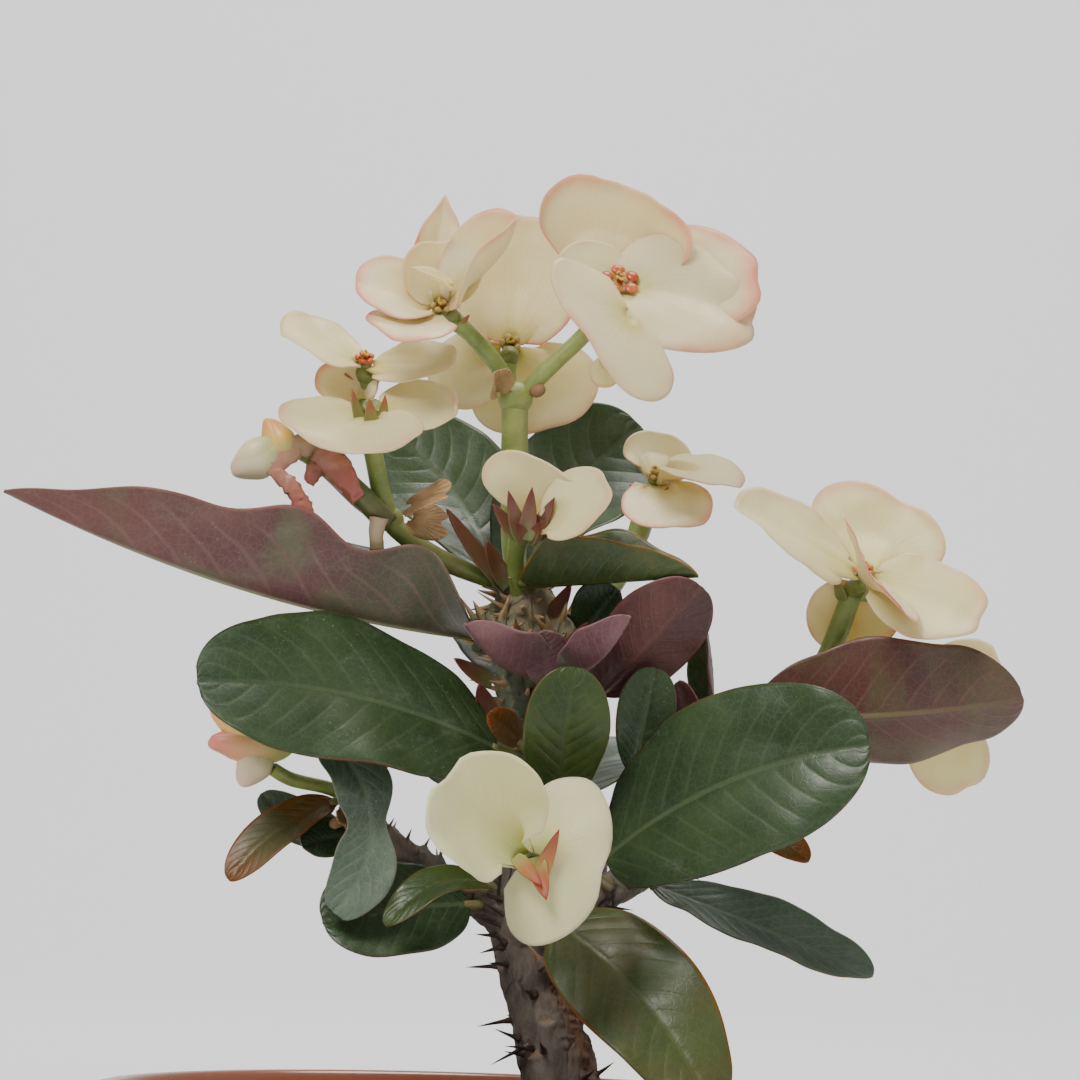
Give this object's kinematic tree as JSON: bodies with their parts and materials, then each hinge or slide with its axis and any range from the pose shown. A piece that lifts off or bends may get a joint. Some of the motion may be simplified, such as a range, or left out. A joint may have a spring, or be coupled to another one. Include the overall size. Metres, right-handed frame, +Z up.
{
  "type": "potted euphorbia",
  "caption": "Flowering crown of thorns in a round red-brown plastic pot: thorny trunk with two side branches, green and burgundy leaves, cream flowers with pink edges",
  "frame": {"origin": "middle of the underside of the pot, on the surface it rests on", "axes": "X to the right and Y to the back as seen from the front of the plant, Z up"},
  "size_m": [0.2018, 0.15, 0.3138],
  "materials": {
    "pot_plastic": "gloss",
    "soil": "matte",
    "stem_bark": "matte",
    "green_stalk": "satin",
    "leaf_green": "satin",
    "leaf_burgundy": "satin",
    "petal_cream": "satin",
    "bud_pink": "satin"
  },
  "bodies": {
    "root": {"pot": "pot_plastic", "soil": "soil", "stem": "stem_bark", "flower_stalk_top": "green_stalk", "flower_stalk_left": "green_stalk", "flower_stalk_right": "green_stalk", "leaf_left_long": "leaf_burgundy", "leaf_left_broad": "leaf_green", "leaf_front_right": "leaf_green", "leaf_right_burgundy": "leaf_burgundy", "leaf_lower_right": "leaf_green", "leaf_lower_front": "leaf_green", "leaf_back_upper_right": "leaf_green", "leaf_back_upper_left": "leaf_green", "leaf_centre_olive": "leaf_green", "leaf_centre_purple": "leaf_burgundy", "leaf_centre_small": "leaf_green", "leaf_maroon": "leaf_burgundy", "leaf_centre_upright": "leaf_green", "leaf_round_dark": "leaf_green", "leaf_edge_narrow": "leaf_burgundy", "leaf_low_left_round": "leaf_green", "leaf_low_left_narrow": "leaf_green", "leaf_side_curved_up": "leaf_green", "leaf_side_curved_down": "leaf_green", "leaf_side_red": "leaf_burgundy", "leaf_side_grey": "leaf_green", "leaf_rear_upper": "leaf_green", "leaf_rear_right": "leaf_green", "leaf_rear_left": "leaf_green", "leaf_rear_low": "leaf_green", "flower1_petal_back": "petal_cream", "flower1_petal_right": "petal_cream", "flower1_petal_front": "petal_cream", "flower2_petal_back": "petal_cream", "flower2_petal_left": "petal_cream", "flower2_petal_right": "petal_cream", "flower2_petal_front": "petal_cream", "flower3_petal_up": "petal_cream", "flower3_petal_left": "petal_cream", "flower3_petal_down": "petal_cream", "flower4_petal_left": "petal_cream", "flower4_petal_right": "petal_cream", "flower5_petal_front": "petal_cream", "flower5_petal_right": "petal_cream", "flower6_petal_up": "petal_cream", "flower6_petal_right": "petal_cream", "flower7_petal_up": "petal_cream", "flower7_petal_right": "petal_cream", "flower7_petal_front": "petal_cream", "flower8_petal_left": "petal_cream", "flower8_petal_up_right": "petal_cream", "flower8_petal_low_right": "petal_cream", "flower8_petal_front": "petal_cream", "flower9_petal_left": "petal_cream", "flower9_petal_right": "petal_cream", "flower10_petal_low": "petal_cream", "flower10_petal_up": "petal_cream", "buds_side": "bud_pink", "buds_left": "bud_pink"}
  },
  "joints": []
}
